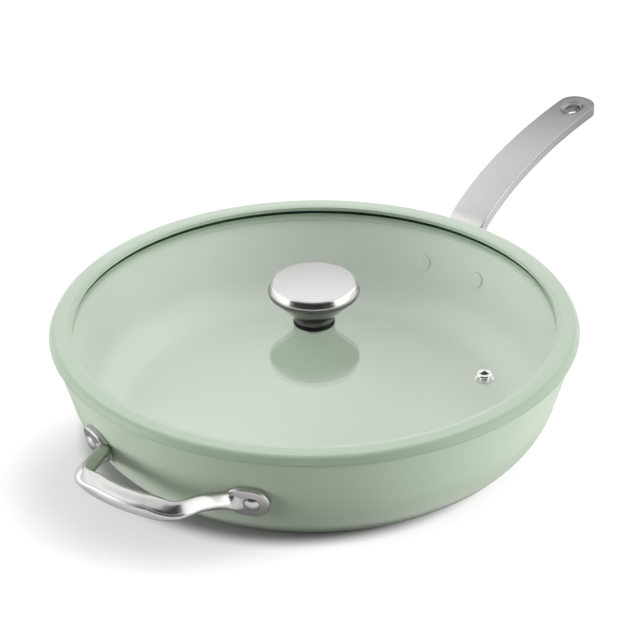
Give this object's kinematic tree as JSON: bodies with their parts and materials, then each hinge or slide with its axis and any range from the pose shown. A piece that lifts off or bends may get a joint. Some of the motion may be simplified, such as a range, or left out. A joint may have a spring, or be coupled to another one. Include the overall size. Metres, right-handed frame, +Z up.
{
  "type": "frying pan with lid",
  "caption": "Round coated frying pan with a riveted long handle, a riveted loop helper handle, and a lift-off glass lid with a silicone rim, a steam vent and a mushroom knob.",
  "frame": {"origin": "middle of the flat base, on the table", "axes": "+X out along the long handle, +Z up out of the pan"},
  "size_m": [0.471, 0.304, 0.0967],
  "materials": {
    "coated_aluminium": "satin sage green ceramic coating",
    "sage_silicone": "matte moulded silicone",
    "tempered_glass": "clear polished",
    "cast_steel": "cast and polished",
    "brushed_steel": "fine brushed",
    "black_silicone": "matte"
  },
  "bodies": {
    "pan": {"pan_body": "coated_aluminium", "induction_base_disc": "brushed_steel", "long_handle": "cast_steel", "long_handle_rivet_left": "cast_steel", "long_handle_rivet_right": "cast_steel", "helper_handle": "cast_steel", "helper_rivet_right": "cast_steel", "helper_rivet_left": "cast_steel"},
    "lid": {"lid_glass": "tempered_glass", "lid_silicone_rim": "sage_silicone", "steam_vent_eyelet": "brushed_steel", "steam_vent_washer": "brushed_steel", "lid_knob": "brushed_steel", "knob_threaded_insert": "brushed_steel", "knob_gasket": "black_silicone", "knob_soft_washer": "sage_silicone", "knob_steel_washer": "brushed_steel", "knob_screw": "brushed_steel"}
  },
  "joints": [
    {"name": "lid_lift", "type": "slide", "parent": "pan", "child": "lid", "axis": [0, 0, 1], "range_m": [0, 0.12]}
  ]
}
